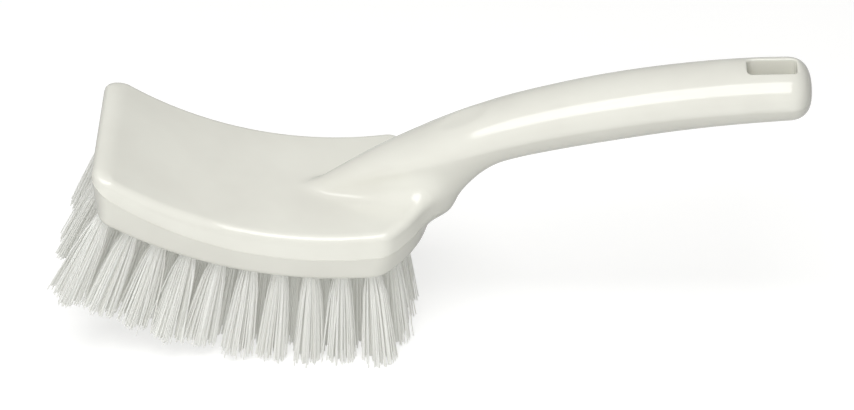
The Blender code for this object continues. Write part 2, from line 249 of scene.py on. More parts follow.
class TuftSizes(bpy.types.PropertyGroup):
    """Sizes of the bristle tufts and their holes."""

    hole_radius: size("Hole radius", 0.0026, "Radius of the blind holes")
    hole_depth: size("Hole depth", 0.0115, "Depth of the blind holes")
    side_margin: size("Side margin", 0.0075, "From the outer rows to the block's sides")
    free_margin: size("Free end margin", 0.0040, "From the rows' ends to the free end's rounded edge")
    bow_margin: size("Bow margin", 0.0080, "From the middle rows' ends to the bow's rounded edge")
    bow_radius: size("Rows' bow radius", 0.067, "Radius of the curve on which the rows end at the bow")
    free_set_back: size("Free set back", 0.0053, "How far a staggered row starts behind its neighbours")
    bow_set_forward: size("Bow set forward", 0.0015, "How far it ends beyond the rows' curve at the bow")
    fan_radius: size("Fan radius", 0.222, "Radius from which the tufts fan out")
    fan_shift: size("Fan shift", 0.0060, "How far the fan's centre lies towards the free end")
    row_fan_radius: size("Row fan radius", 1.5, "Radius from which the rows fan out sideways")
    row_lean: turn("Row lean", 0.9, "Lean of every tuft towards the near side")
    far_upright: turn("Far upright", 4.4, "How much less the far rows lean out at the free end")
    trim_radius: size("Trim radius", 0.1968, "Radius of the arc that trims the tips")
    trim_depth: size("Trim depth", 0.0463, "Lowest point of that arc below the parting line")
    stand_flat: size("Stand flat", 0.0005, "Depth of the flat that the brush stands on")
    root_spread: size("Root spread", 0.00236, "Radius of the filament bundle in its hole")
    tip_spread: size("Tip spread", 0.0065, "Radius of the filament bundle at its tips")
    filament_radius: size("Filament radius", 0.00023, "Radius of one filament")
    filament_count: IntProperty(name="Filaments", description="Filaments in one tuft", default=104, min=8)
    ragged_trim: size("Ragged trim", 0.0006, "Largest shortening of a filament at its tip")


class StandSettings(bpy.types.PropertyGroup):
    """How the brush stands on its bristles."""

    angle: turn("Stand angle", 11.6, "Tilt of the level drawing when the brush stands")
    shift: size("Shift", -0.0629732, "Slide along X after the tilt")


class FinishSettings(bpy.types.PropertyGroup):
    """Colours and gloss of the finishes."""

    moulding: colour("Moulding", (0.787, 0.784, 0.715), "Off-white plastic")
    moulding_shade: colour("Moulding shade", (0.737, 0.730, 0.665), "Slightly warmer patches of the plastic")
    bristle: colour("Bristle", (0.800, 0.808, 0.780), "White filament")
    bristle_shade: colour("Bristle shade", (0.745, 0.742, 0.700), "Yellower, older filament")
    wire: colour("Wire", (0.62, 0.62, 0.60), "Staple wire")
    floor: colour("Floor", (0.50, 0.50, 0.49), "Studio floor")
    moulding_roughness: roughness("Moulding roughness", 0.055, "Roughness of the plastic")
    bristle_roughness: roughness("Bristle roughness", 0.42, "Roughness of the filaments")


class BrushSettings(bpy.types.PropertyGroup):
    """All settings of the brush."""

    block: PointerProperty(type=BlockSizes)
    handle: PointerProperty(type=HandleSizes)
    tuft: PointerProperty(type=TuftSizes)
    stand: PointerProperty(type=StandSettings)
    finish: PointerProperty(type=FinishSettings)


# Modelling helpers

def add_primitive(operator, name, **options):
    """Add one primitive with nothing else selected."""
    bpy.ops.object.select_all(action="DESELECT")
    operator(**options)
    piece = bpy.context.object
    piece.name = name
    piece.data.name = name
    return piece


def pick(piece):
    bpy.ops.object.select_all(action="DESELECT")
    piece.select_set(True)
    bpy.context.view_layer.objects.active = piece


def edit_parts(piece, kind):
    """Start to edit a piece by its edges or faces, with none of them selected."""
    pick(piece)
    bpy.ops.object.mode_set(mode="EDIT")
    bpy.ops.mesh.select_mode(type=kind)
    bpy.ops.mesh.select_all(action="DESELECT")
    return bmesh.from_edit_mesh(piece.data)


def edit_whole(piece, operator, **options):
    """Run one mesh operator on the whole of a piece."""
    pick(piece)
    bpy.ops.object.mode_set(mode="EDIT")
    bpy.ops.mesh.select_all(action="SELECT")
    operator(**options)
    bpy.ops.object.mode_set(mode="OBJECT")


def sort_parts(piece):
    """Order edges and faces by their vertices, because extruding adds them in a new order each run."""
    form = bmesh.from_edit_mesh(piece.data)
    form.verts.index_update()
    count = len(form.verts)

    def rank(part):
        first, second, third = (sorted(vertex.index for vertex in part.verts) + [0])[:3]
        return (first * count + second) * count + third

    form.edges.sort(key=rank)
    form.faces.sort(key=rank)
    bmesh.update_edit_mesh(piece.data)


def loop_loft(name, rings):
    """Start from a circle, extrude it from ring to ring and move each new loop into place."""
    piece = add_primitive(bpy.ops.mesh.primitive_circle_add, name, vertices=len(rings[0]), radius=1)
    bpy.ops.object.mode_set(mode="EDIT")
    form = bmesh.from_edit_mesh(piece.data)
    form.verts.ensure_lookup_table()
    loop = list(form.verts)
    for vertex, place in zip(loop, rings[0]):
        vertex.co = place
    for ring in rings[1:]:
        keys = [tuple(vertex.co) for vertex in loop]
        bpy.ops.mesh.extrude_edges_move()
        form = bmesh.from_edit_mesh(piece.data)
        # The new loop still lies on the old one, so each of its vertices is told by its place
        raised = {tuple(vertex.co): vertex for vertex in form.verts if vertex.select}
        loop = [raised[key] for key in keys]
        for vertex, place in zip(loop, ring):
            vertex.co = place
    bmesh.update_edit_mesh(piece.data)
    bpy.ops.object.mode_set(mode="OBJECT")
    return piece


def close_ends(piece):
    """Fill the open loops of a loft and turn its faces outwards."""
    edit_parts(piece, "EDGE")
    bpy.ops.mesh.select_non_manifold()
    bpy.ops.mesh.edge_face_add()
    bpy.ops.mesh.select_all(action="SELECT")
    bpy.ops.mesh.normals_make_consistent(inside=False)
    if bmesh.from_edit_mesh(piece.data).calc_volume(signed=True) < 0:
        bpy.ops.mesh.flip_normals()
    sort_parts(piece)
    bpy.ops.object.mode_set(mode="OBJECT")


def cut(piece, cutter, operation):
    """Apply one Boolean and remove its cutter."""
    pick(piece)
    modifier = piece.modifiers.new("cut", "BOOLEAN")
    modifier.operation = operation
    modifier.solver = "MANIFOLD"
    modifier.object = cutter
    bpy.ops.object.modifier_apply(modifier=modifier.name)
    bpy.data.objects.remove(cutter, do_unlink=True)


def stand_matrix(settings):
    """From the level drawing to the standing brush."""
    tuft = settings.tuft
    rise = tuft.trim_radius - tuft.stand_flat
    rise -= (tuft.trim_radius - tuft.trim_depth) * math.cos(settings.stand.angle)
    return (Matrix.Translation((settings.stand.shift, 0, rise))
            @ Matrix.Rotation(settings.stand.angle, 4, "Y"))


def settle(piece, settings, material, nodes):
    """Stand the piece up, finish it, attach it to the root body and hide the CAD nodes that it replaces."""
    piece.data.transform(stand_matrix(settings))
    piece.data.materials.clear()
    piece.data.materials.append(material)
    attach(piece, "root")
    if nodes:
        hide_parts(*nodes)


# Block

def smooth_step(value, low, high):
    t = min(1, max(0, (value - low) / (high - low)))
    return t * t * (3 - 2 * t)


def bowl_height(x, radius, lowest):
    return lowest + radius - math.sqrt(radius ** 2 - x ** 2)


def under_height(block, x):
    return bowl_height(x, block.under_radius, -block.under_drop)


def parting_height(block, x):
    return bowl_height(x, block.free_parting_radius if x < 0 else block.parting_radius, 0)


def top_face_height(block, x):
    return bowl_height(x + block.top_shift, block.top_radius, block.top_height)


def arc_points(centre_x, centre_y, radius, start, end, steps):
    points = []
    for i in range(steps + 1):
        angle = start + (end - start) * i / steps
        points.append((centre_x + radius * math.cos(angle), centre_y + radius * math.sin(angle),
                       math.cos(angle), math.sin(angle)))
    return points


def half_outline(block):
    """Plan points and outward normals of the near half, from the free end to the bow's tip."""
    half_width = block.width / 2
    free_x = block.free_corner_radius - block.free_end_reach
    free_y = block.free_corner_radius - half_width
    bow_centre_x = block.bow_end_reach + block.bow_bulge - block.bow_radius
    corner_y = block.bow_corner_radius - half_width
    corner_reach = math.sqrt((block.bow_radius - block.bow_corner_radius) ** 2 - corner_y ** 2)
    corner_x = bow_centre_x + corner_reach
    meeting = math.atan2(corner_y, corner_reach)
    points = [(-block.free_end_reach, free_y * (i + 0.5) / (FREE_END_STEPS + 0.5), -1, 0)
              for i in range(FREE_END_STEPS)]
    points += arc_points(free_x, free_y, block.free_corner_radius, math.pi, 1.5 * math.pi,
                         FREE_CORNER_STEPS)
    points += [(free_x + (corner_x - free_x) * i / SIDE_STEPS, -half_width, 0, -1)
               for i in range(1, SIDE_STEPS)]
    points += arc_points(corner_x, corner_y, block.bow_corner_radius, -math.pi / 2, meeting,
                         BOW_CORNER_STEPS)
    points += arc_points(bow_centre_x, 0, block.bow_radius, meeting, meeting / (2 * BOW_STEPS),
                         BOW_STEPS)[1:]
    return points


def wall_levels(block, normal_x):
    """Inset, weights of the three heights and lift of each ring, from the underside to the top."""
    free = smooth_step(-normal_x, 0, 1)
    bow = smooth_step(normal_x, 0, 1)
    fillet = block.side_fillet + (block.bow_fillet - block.side_fillet) * bow
    reach = fillet + (block.end_fillet_reach - block.side_fillet) * free
    drop = fillet + (block.end_fillet_drop - block.side_fillet) * free
    draft = block.lower_draft + (block.free_lower_draft - block.lower_draft) * free
    upper_draft = block.upper_draft * (1 - free)
    groove = block.parting_groove
    levels = []
    for i in range(UNDER_ROUND_STEPS + 1):
        angle = math.pi / 2 * i / UNDER_ROUND_STEPS
        levels.append((draft + block.under_round * (1 - math.sin(angle)), (1, 0, 0),
                       block.under_round * (1 - math.cos(angle))))
    for i in range(1, LOWER_WALL_STEPS):
        t = i / LOWER_WALL_STEPS
        levels.append((draft * (1 - t), (1 - t, t, 0), block.under_round * (1 - t)))
    levels += [(0, (0, 1, 0), -groove), (groove * GROOVE_DEPTH_SHARE, (0, 1, 0), 0), (0, (0, 1, 0), groove)]
    for i in range(1, UPPER_WALL_STEPS):
        t = i / UPPER_WALL_STEPS
        levels.append((upper_draft * t, (0, 1 - t, t), -drop * t))
    for i in range(TOP_ROUND_STEPS + 1):
        angle = math.pi / 2 * i / TOP_ROUND_STEPS
        levels.append((upper_draft + reach * (1 - math.cos(angle)), (0, 0, 1),
                       drop * (math.sin(angle) - 1)))
    return levels


def block_rings(block):
    """Rings of the block's outline at every level of its wall."""
    near = [[] for _ in wall_levels(block, 0)]
    for x, y, normal_x, normal_y in half_outline(block):
        for ring, (inset, weights, lift) in zip(near, wall_levels(block, normal_x)):
            ring_x = x - normal_x * inset
            heights = (under_height(block, ring_x), parting_height(block, ring_x),
                       top_face_height(block, ring_x))
            z = sum(share * height for share, height in zip(weights, heights)) + lift
            ring.append(Vector((ring_x, y - normal_y * inset, z)))
    return [ring + [Vector((p.x, -p.y, p.z)) for p in reversed(ring)] for ring in near]


def face_rings(ring, height, steps):
    """Rings that shrink a face's outline to a narrow slit along its middle."""
    centre_x = (ring[0].x + ring[len(ring) // 2 - 1].x) / 2
    half_width = max(point.y for point in ring)
    rings = []
    for i in range(1, steps + 1):
        t = SLIT_SHARE * (i / steps) ** RING_CROWDING
        rings.append([])
        for point in ring:
            lengthwise = LENGTHWISE_SHARE + SIDE_SHARE * (point.y / half_width) ** 2
            x = centre_x + (point.x - centre_x) * (1 - t * lengthwise)
            rings[-1].append(Vector((x, point.y * (1 - t), height(x))))
    return rings


def place_key(point):
    return tuple(round(c, PLACE_DIGITS) for c in point)


def bridge_halves(piece, ring):
    """Close a narrow slit by bridging its near half to its far half."""
    count = len(ring) // 2
    form = edit_parts(piece, "EDGE")
    places = {place_key(vertex.co): vertex for vertex in form.verts}
    loop = [places[place_key(point)] for point in ring]
    for i in range(len(loop)):
        j = (i + 1) % len(loop)
        if i != count - 1 and j != 0:
            form.edges.get((loop[i], loop[j])).select_set(True)
    bmesh.update_edit_mesh(piece.data)
    bpy.ops.mesh.bridge_edge_loops(type="SINGLE")
    bpy.ops.object.mode_set(mode="OBJECT")


def make_block(block):
    walls = block_rings(block)
    under = face_rings(walls[0], lambda x: under_height(block, x), UNDER_FACE_STEPS)
    top = face_rings(walls[-1], lambda x: top_face_height(block, x), TOP_FACE_STEPS)
    piece = loop_loft("brush_moulding", list(reversed(under)) + walls + top)
    bridge_halves(piece, top[-1])
    bridge_halves(piece, under[-1])
    close_ends(piece)
    return piece


# Handle

def handle_frame(handle, distance):
    """Point on the handle's centre line, its direction and its upward normal."""
    angle = handle.root_angle - distance / handle.arc_radius
    x = handle.root_x + handle.arc_radius * (math.sin(handle.root_angle) - math.sin(angle))
    z = handle.root_z + handle.arc_radius * (math.cos(angle) - math.cos(handle.root_angle))
    return (Vector((x, 0, z)), Vector((math.cos(angle), 0, math.sin(angle))),
            Vector((-math.sin(angle), 0, math.cos(angle))))


def section_at(place):
    """Section shares at a place along the handle, on a smooth curve through the table."""
    table = HANDLE_SECTION_SHARES
    index = 0
    while index < len(table) - 2 and place > table[index + 1][0]:
        index += 1
    before = table[max(index - 1, 0)]
    start = table[index]
    end = table[index + 1]
    after = table[min(index + 2, len(table) - 1)]
    span = end[0] - start[0]
    t = (place - start[0]) / span
    shares = []
    for column in (1, 2, 3):
        first = (end[column] - before[column]) / (end[0] - before[0]) * span
        last = (after[column] - start[column]) / (after[0] - start[0]) * span
        shares.append((2 * t ** 3 - 3 * t ** 2 + 1) * start[column] + (t ** 3 - 2 * t ** 2 + t) * first
                      + (3 * t ** 2 - 2 * t ** 3) * end[column] + (t ** 3 - t ** 2) * last)
    return shares


def rounded(value):
    """Sine or cosine of the section's oval, which is a little squarer than an ellipse."""
    return math.copysign(abs(value) ** (2 / SECTION_SQUARENESS), value)


def end_share(handle, distance):
    """Size of the section at a place, as a share: 1 up to the rounded end, then less."""
    reach = max(0, (distance - handle.length + handle.end_round) / handle.end_round)
    return (1 - reach ** END_SQUARENESS) ** (1 / END_SQUARENESS)


def handle_ring(handle, distance):
    """One oval section: dented on the neck, and leaning in below the edge where the mould parts."""
    centre, _, upward = handle_frame(handle, distance)
    place = distance / handle.length
    end = end_share(handle, distance)
    width_share, rise_share, drop_share = section_at(place)
    lean_share = EDGE_LEAN_SHARE * smooth_step(place, *EDGE_RISE_SHARES)
    along_dent = (distance - handle.dent_place) / handle.dent_length
    ring = []
    angles = [2 * math.pi * i / HANDLE_SIDES for i in range(HANDLE_SIDES)]
    for angle in sorted(angles + [math.pi + EDGE_ANGLE, 2 * math.pi - EDGE_ANGLE]):
        lift = rounded(math.sin(angle))
        across = rounded(math.cos(angle))
        across *= 1 - lean_share * max(0, -lift) * (1 - abs(lift))
        lift *= handle.thickness * (rise_share if lift > 0 else drop_share)
        across *= handle.width * width_share
        if lift > 0:
            lift -= handle.dent_depth * max(0, 1 - along_dent ** 2 - (across / handle.dent_width) ** 2)
        ring.append(centre + end * (Vector((0, across, 0)) + upward * lift))
    return ring


def make_handle(handle):
    straight = handle.length - handle.end_round
    places = [straight * i / HANDLE_STEPS for i in range(HANDLE_STEPS + 1)]
    for i in range(1, HANDLE_END_STEPS + 1):
        angle = math.pi / 2 * i / HANDLE_END_STEPS * HANDLE_END_SHARE
        places.append(straight + handle.end_round * math.sin(angle))
    piece = loop_loft("handle", [handle_ring(handle, place) for place in places])
    close_ends(piece)
    return piece


def surface_lift(handle, distance, across, side):
    """Height of the handle's surface above or below its centre line."""
    width_share, rise_share, drop_share = section_at(distance / handle.length)
    end = end_share(handle, distance)
    share = min(1, abs(across) / (handle.width * width_share * end))
    height = end * (1 - share ** SECTION_SQUARENESS) ** (1 / SECTION_SQUARENESS)
    return side * handle.thickness * height * (rise_share if side > 0 else drop_share)


def slot_ring(handle, outset, side, depth):
    """The slot's outline, grown by an outset, at a depth under the handle's surface."""
    middle = handle.length - handle.slot_end_wall - handle.slot_length / 2
    centre, along, upward = handle_frame(handle, middle)
    ring = []
    half_length = handle.slot_length / 2 - handle.slot_corner_radius
    half_width = handle.slot_width / 2 - handle.slot_corner_radius
    reach = handle.slot_corner_radius + outset
    for corner, (side_x, side_y) in enumerate(((1, 1), (-1, 1), (-1, -1), (1, -1))):
        for i in range(SLOT_CORNER_STEPS + 1):
            angle = math.pi / 2 * (corner + i / SLOT_CORNER_STEPS)
            lengthwise = side_x * half_length + reach * math.cos(angle)
            across = side_y * half_width + reach * math.sin(angle)
            lift = surface_lift(handle, middle + lengthwise, across, side) - side * depth
            ring.append(centre + along * lengthwise + Vector((0, across, 0)) + upward * lift)
    return ring


def make_slot_cutter(handle):
    """The hanging slot: walls that lean in to a ring at half the thickness, and a lip on both sides.

    The lip is a flare of outsets and depths that follows the surface and ends well outside it.
    """
    lip = handle.slot_lip
    flare = []
    for i in range(SLOT_LIP_STEPS + 1):
        angle = LIP_ANGLE * i / SLOT_LIP_STEPS
        flare.append((lip * (1 - math.cos(angle)), lip * (1 - math.sin(angle))))
    outset, depth = flare[-1]
    outset += lip * LIP_FLARE
    flare.append((outset, depth - lip * LIP_FLARE / math.tan(LIP_ANGLE) - lip * LIP_OVERRUN))
    flare.append((outset, -handle.thickness / 4))
    rings = [slot_ring(handle, outset, -1, depth) for outset, depth in reversed(flare)]
    rings.append(slot_ring(handle, -handle.slot_draft, 1, handle.thickness / 2))
    rings += [slot_ring(handle, outset, 1, depth) for outset, depth in flare]
    piece = loop_loft("slot_cutter", rings)
    close_ends(piece)
    return piece


# Joint between the handle and the block

def signed_distance(tree, point):
    """Distance to a closed surface, negative inside it, and the way in which it grows."""
    place, normal, _, distance = tree.find_nearest(point)
    away = point - place
    side = 1 if away.dot(normal) >= 0 else -1
    if distance > TOUCHING:
        normal = away.normalized() * side
    return distance * side, normal


def blend_reach(block, handle, point):
    """Reach of the fillet: tight at the root's nose and the underside, wide at the bow."""
    wide = smooth_step(point.x, handle.root_x + BLEND_RAMP, block.bow_end_reach - BLEND_RAMP)
    reach = handle.nose_blend + (handle.root_blend - handle.nose_blend) * wide
    height = point.z - under_height(block, min(point.x, block.bow_end_reach))
    rim = smooth_step(height, 0, BLEND_FADE_HEIGHT)
    return reach * (UNDER_BLEND_SHARE + (1 - UNDER_BLEND_SHARE) * rim)


def blend_joint(piece, block_tree, handle_tree, block, handle):
    """Move the points near the joint onto the smooth union of both surfaces' distances."""
    first_x = handle.root_x - BLEND_MARGIN
    last_x = block.bow_end_reach + handle.root_blend * BLEND_REACHES
    for vertex in piece.data.vertices:
        if vertex.co.x < first_x or vertex.co.x > last_x:
            continue
        point = vertex.co.copy()
        for _ in range(BLEND_PASSES):
            near_block, block_way = signed_distance(block_tree, point)
            near_handle, handle_way = signed_distance(handle_tree, point)
            reach = blend_reach(block, handle, point)
            gap = abs(near_block - near_handle)
            if gap >= reach:
                break
            share = (reach - gap) / reach
            height = min(near_block, near_handle) - share * share * reach / 4
            lesser = share / 2
            if near_block < near_handle:
                way = block_way * (1 - lesser) + handle_way * lesser
            else:
                way = handle_way * (1 - lesser) + block_way * lesser
            point -= way * (height / max(way.length_squared, SHORTEST_WAY))
        vertex.co = point


# Tufts

def row_end_x(block, tuft, y, side):
    """Where a row ends: before the straight free end, or on a curve inside the bow."""
    if side < 0:
        return block.lower_draft + block.under_inset + tuft.free_margin - block.free_end_reach
    inset = block.lower_draft + block.under_inset + tuft.bow_margin + tuft.bow_radius
    return block.bow_end_reach - inset + math.sqrt(tuft.bow_radius ** 2 - y ** 2)


def tuft_places(settings):
    """Name of every tuft, and the matrix that puts it there when it is drawn from the origin along -Z."""
    block, tuft = settings.block, settings.tuft
    places = []
    fan_centre_z = tuft.fan_radius - block.under_drop
    pitch = (block.width - 2 * tuft.side_margin) / (len(ROW_TUFTS) - 1)
    for row, count in enumerate(ROW_TUFTS):
        y = (row - (len(ROW_TUFTS) - 1) / 2) * pitch
        start_x = row_end_x(block, tuft, y, -1)
        end_x = row_end_x(block, tuft, y, 1)
        if row in STAGGERED_ROWS:
            start_x += tuft.free_set_back
            end_x += tuft.bow_set_forward
        first = math.asin(start_x / block.under_radius)
        last = math.asin(end_x / block.under_radius)
        for column in range(count):
            x = block.under_radius * math.sin(first + (last - first) * column / (count - 1))
            mouth = Vector((x, y, under_height(block, x)))
            sideways = y / tuft.row_fan_radius - math.tan(tuft.row_lean)
            upright = tuft.far_upright * smooth_step(y, *UPRIGHT_ACROSS) * smooth_step(-x, *UPRIGHT_ALONG)
            lean = Vector((x + tuft.fan_shift + tuft.fan_radius * math.tan(upright),
                           tuft.fan_radius * sideways, mouth.z - fan_centre_z))
            turned = lean.normalized().to_track_quat("-Z", "Y").to_matrix().to_4x4()
            places.append((f"tuft_r{row + 1}_c{column + 1:02d}", Matrix.Translation(mouth) @ turned))
    return places


def copy_to_holes(pattern, settings):
    """Copy one piece to every tuft's hole and join the copies."""
    copies = []
    for _, place in tuft_places(settings):
        copy = pattern.copy()
        copy.data = pattern.data.copy()
        copy.data.transform(place)
        bpy.context.scene.collection.objects.link(copy)
        copies.append(copy)
    bpy.data.objects.remove(pattern, do_unlink=True)
    bpy.ops.object.select_all(action="DESELECT")
    for copy in copies:
        copy.select_set(True)
    bpy.context.view_layer.objects.active = copies[0]
    bpy.ops.object.join()
    return copies[0]


def make_drill(settings):
    """Drills for all holes, drawn out past the underside."""
    tuft = settings.tuft
    drill = add_primitive(bpy.ops.mesh.primitive_cylinder_add, "tuft_drill", vertices=DRILL_SIDES,
                          radius=tuft.hole_radius, depth=tuft.hole_depth,
                          location=(0, 0, tuft.hole_depth / 2))
    bpy.ops.object.transform_apply(location=True)
    form = edit_parts(drill, "FACE")
    for face in form.faces:
        face.select_set(face.normal.z < DOWNWARD)
    bmesh.update_edit_mesh(drill.data)
    overrun = tuft.hole_radius
    bpy.ops.mesh.extrude_region_move(TRANSFORM_OT_translate={"value": (0, 0, -overrun)})
    sort_parts(drill)
    bpy.ops.object.mode_set(mode="OBJECT")
    return copy_to_holes(drill, settings)


def model_filament(tuft):
    """One straight filament of unit length along -Z, as points and faces."""
    piece = add_primitive(bpy.ops.mesh.primitive_cylinder_add, "filament", vertices=FILAMENT_SIDES,
                          radius=tuft.filament_radius, depth=1, location=(0, 0, -0.5))
    bpy.ops.object.transform_apply(location=True)
    bpy.ops.object.mode_set(mode="EDIT")
    for share in FILAMENT_CUTS:
        bpy.ops.mesh.select_all(action="SELECT")
        bpy.ops.mesh.bisect(plane_co=(0, 0, -share), plane_no=(0, 0, 1))
    bpy.ops.object.mode_set(mode="OBJECT")
    points = np.array([vertex.co for vertex in piece.data.vertices])
    faces = [tuple(face.vertices) for face in piece.data.polygons]
    bpy.data.objects.remove(piece, do_unlink=True)
    return points, faces


def trim_lengths(settings, starts, directions):
    """Distance from each start along its direction to the trimmed arc or to the stand's flat."""
    tuft, angle = settings.tuft, settings.stand.angle
    centre_z = tuft.trim_radius - tuft.trim_depth
    down = directions[:, [0, 2]]
    offset = starts[:, [0, 2]] - np.array([0, centre_z])
    square = (down ** 2).sum(1)
    half = (offset * down).sum(1) / square
    rest = ((offset ** 2).sum(1) - tuft.trim_radius ** 2) / square
    to_arc = -half + np.sqrt(half ** 2 - rest)
    normal = np.array([-math.sin(angle), 0, math.cos(angle)])
    flat = centre_z * normal[2] - (tuft.trim_radius - tuft.stand_flat)
    to_flat = (flat - starts @ normal) / (directions @ normal)
    return np.minimum(to_arc, to_flat)


def fan_filaments(settings, place, number):
    """Root and tip of every filament in the tuft's own frame, and a shade for each."""
    tuft = settings.tuft
    random = np.random.default_rng(FIRST_SEED + number)
    count = tuft.filament_count
    order = np.arange(count) + 0.5
    radius = np.sqrt(order / count)
    angle = GOLDEN_ANGLE * order + number
    disc = np.stack([radius * np.cos(angle), radius * np.sin(angle)], 1)
    disc += random.normal(0, ROOT_JITTER, disc.shape)
    roots = disc * tuft.root_spread * HOLE_FILL
    clumps = random.uniform(-CLUMP_SPREAD, CLUMP_SPREAD, (CLUMPS, 2))
    nearest = ((disc[:, None] - clumps[None]) ** 2).sum(2).argmin(1)
    pull = random.uniform(*CLUMP_PULL, (count, 1))
    tips = disc * (1 - pull) + clumps[nearest] * pull
    tips += random.normal(0, TIP_JITTER, disc.shape) + random.normal(0, TUFT_JITTER, 2)
    stray = random.random(count) < STRAY_CHANCE
    tips[stray] += random.normal(0, STRAY_JITTER, (stray.sum(), 2))
    tips /= np.maximum(1, np.linalg.norm(tips, axis=1) / LARGEST_SPREAD)[:, None]
    tips *= tuft.tip_spread
    shorten = random.random(count) ** TRIM_POWER * tuft.ragged_trim
    shorten += random.uniform(0, CLUMP_TRIM_SHARE, CLUMPS)[nearest] * tuft.ragged_trim
    shade = np.clip(random.normal(SHADE_MEAN, SHADE_SPREAD, count), 0, 1)
    rotation, origin = np.array(place.to_3x3()), np.array(place.translation)
    free = tuft.trim_depth - settings.block.under_drop
    ways = np.concatenate([tips - roots, np.full((count, 1), -free)], 1) @ rotation.T
    ways /= np.linalg.norm(ways, axis=1)[:, None]
    starts = np.concatenate([roots, np.zeros((count, 1))], 1) @ rotation.T + origin
    lengths = trim_lengths(settings, starts, ways)
    ends = starts + ways * (lengths - shorten)[:, None]
    return roots, (ends - origin) @ rotation, shade


def make_tuft(name, settings, filament, place, number):
    """Copy the filament to every place of the tuft, straight in its hole and fanned outside it."""
    tuft = settings.tuft
    points, faces = filament
    roots, tips, shade = fan_filaments(settings, place, number)
    share = -points[:, 2]
    mouth_share = FILAMENT_CUTS[0]
    in_hole = share < mouth_share / 2
    at_mouth = np.isclose(share, mouth_share, atol=0.01)
    t = np.clip((share - mouth_share) / (1 - mouth_share), 0, 1)
    bend = t ** FILAMENT_BEND
    paths = []
    for root, tip in zip(roots, tips):
        path = np.zeros((len(points), 3))
        path[:, :2] = root + (tip[:2] - root) * bend[:, None]
        path[:, 2] = tip[2] * t
        path[in_hole, 2] = tuft.hole_depth - FOLD_GAP
        path[at_mouth, 2] = BEND_DEPTH
        path[:, :2] += points[:, :2]
        paths.append(path)
    corners = np.concatenate(paths) @ np.array(place.to_3x3()).T + np.array(place.translation)
    count = len(points)
    all_faces = []
    for index in range(len(roots)):
        all_faces += [tuple(corner + index * count for corner in face) for face in faces]
    data = bpy.data.meshes.new(name)
    data.from_pydata(corners.tolist(), [], all_faces)
    shades = data.attributes.new("filament_shade", "FLOAT", "POINT")
    shades.data.foreach_set("value", np.repeat(shade, count).astype(np.float32))
    data.shade_smooth()
    piece = bpy.data.objects.new(name, data)
    bpy.context.scene.collection.objects.link(piece)
    pick(piece)
    bpy.ops.object.shade_smooth_by_angle(angle=FILAMENT_SMOOTH_ANGLE)
    return piece


def make_anchor(tuft):
    """One flat wire anchor: a bar near the hole's floor, over which the real filaments fold; here they end
    just short of it.
    """
    piece = add_primitive(bpy.ops.mesh.primitive_cube_add, "anchor", size=1,
                          location=(0, 0, tuft.hole_depth - ANCHOR_GAP),
                          scale=(tuft.hole_radius * ANCHOR_RADII, WIRE_THICKNESS, WIRE_HEIGHT))
    bpy.ops.object.transform_apply(location=True, scale=True)
    edit_whole(piece, bpy.ops.mesh.bevel, offset=WIRE_ROUND, segments=WIRE_ROUND_STEPS)
    return piece


# Finishes

def new_material(name):
    material = bpy.data.materials.new(name)
    material.use_nodes = True
    tree = material.node_tree
    return material, tree, tree.nodes["Principled BSDF"]


def set_inputs(made, **inputs):
    for key, value in inputs.items():
        made.inputs[key.replace("_", " ")].default_value = value
    return made


def noise(tree, scale, detail, roughness=0.5):
    """Noise that is fixed to the piece."""
    made = set_inputs(tree.nodes.new("ShaderNodeTexNoise"), Scale=scale, Detail=detail, Roughness=roughness)
    tree.links.new(tree.nodes.new("ShaderNodeTexCoord").outputs["Object"], made.inputs["Vector"])
    return made.outputs["Fac"]


def ramp(tree, value, **limits):
    made = set_inputs(tree.nodes.new("ShaderNodeMapRange"), **limits)
    tree.links.new(value, made.inputs["Value"])
    return made.outputs["Result"]


def calculate(tree, operation, first, second):
    made = tree.nodes.new("ShaderNodeMath")
    made.operation = operation
    tree.links.new(first, made.inputs[0])
    tree.links.new(second, made.inputs[1])
    return made.outputs["Value"]


def tint(tree, shader, factor, first, second):
    """Let a factor lead the base colour from the first to the second."""
    made = tree.nodes.new("ShaderNodeMix")
    made.data_type = "RGBA"
    tree.links.new(factor, made.inputs["Factor"])
    set_inputs(made, A=(*first, 1), B=(*second, 1))
    tree.links.new(made.outputs["Result"], shader.inputs["Base Color"])


def glossy_moulding(finish):
    """Off-white moulded plastic: faint warm patches, fine orange peel and uneven gloss."""
    material, tree, shader = new_material("glossy_moulding")
    patches = ramp(tree, noise(tree, 24.0, 3.0, 0.55), From_Min=0.38, From_Max=0.68)
    tint(tree, shader, patches, finish.moulding, finish.moulding_shade)
    gloss = ramp(tree, noise(tree, 90.0, 4.0, 0.6), From_Min=0.3, From_Max=0.7,
                 To_Min=finish.moulding_roughness - 0.03, To_Max=finish.moulding_roughness + 0.06)
    tree.links.new(gloss, shader.inputs["Roughness"])
    peel = set_inputs(tree.nodes.new("ShaderNodeBump"), Strength=0.05, Distance=0.0002)
    tree.links.new(noise(tree, 420.0, 2.0), peel.inputs["Height"])
    tree.links.new(peel.outputs["Normal"], shader.inputs["Normal"])
    set_inputs(shader, IOR=1.49)
    return material


def white_filament(finish):
    """Synthetic filament, each one a little different in tint.

    The sheen and the weak glow stand for the light that passes from filament to filament; the glow is
    painted light, an even emission from every filament.
    """
    material, tree, shader = new_material("white_filament")
    shade = tree.nodes.new("ShaderNodeAttribute")
    shade.attribute_name = "filament_shade"
    streaks = ramp(tree, noise(tree, 600.0, 2.0), To_Max=0.10)
    total = calculate(tree, "ADD", streaks, shade.outputs["Fac"])
    tint(tree, shader, total, finish.bristle, finish.bristle_shade)
    set_inputs(shader, Roughness=finish.bristle_roughness, IOR=1.5, Sheen_Weight=0.4, Sheen_Roughness=0.6,
               Emission_Color=(1.0, 1.0, 0.95, 1), Emission_Strength=0.08)
    return material


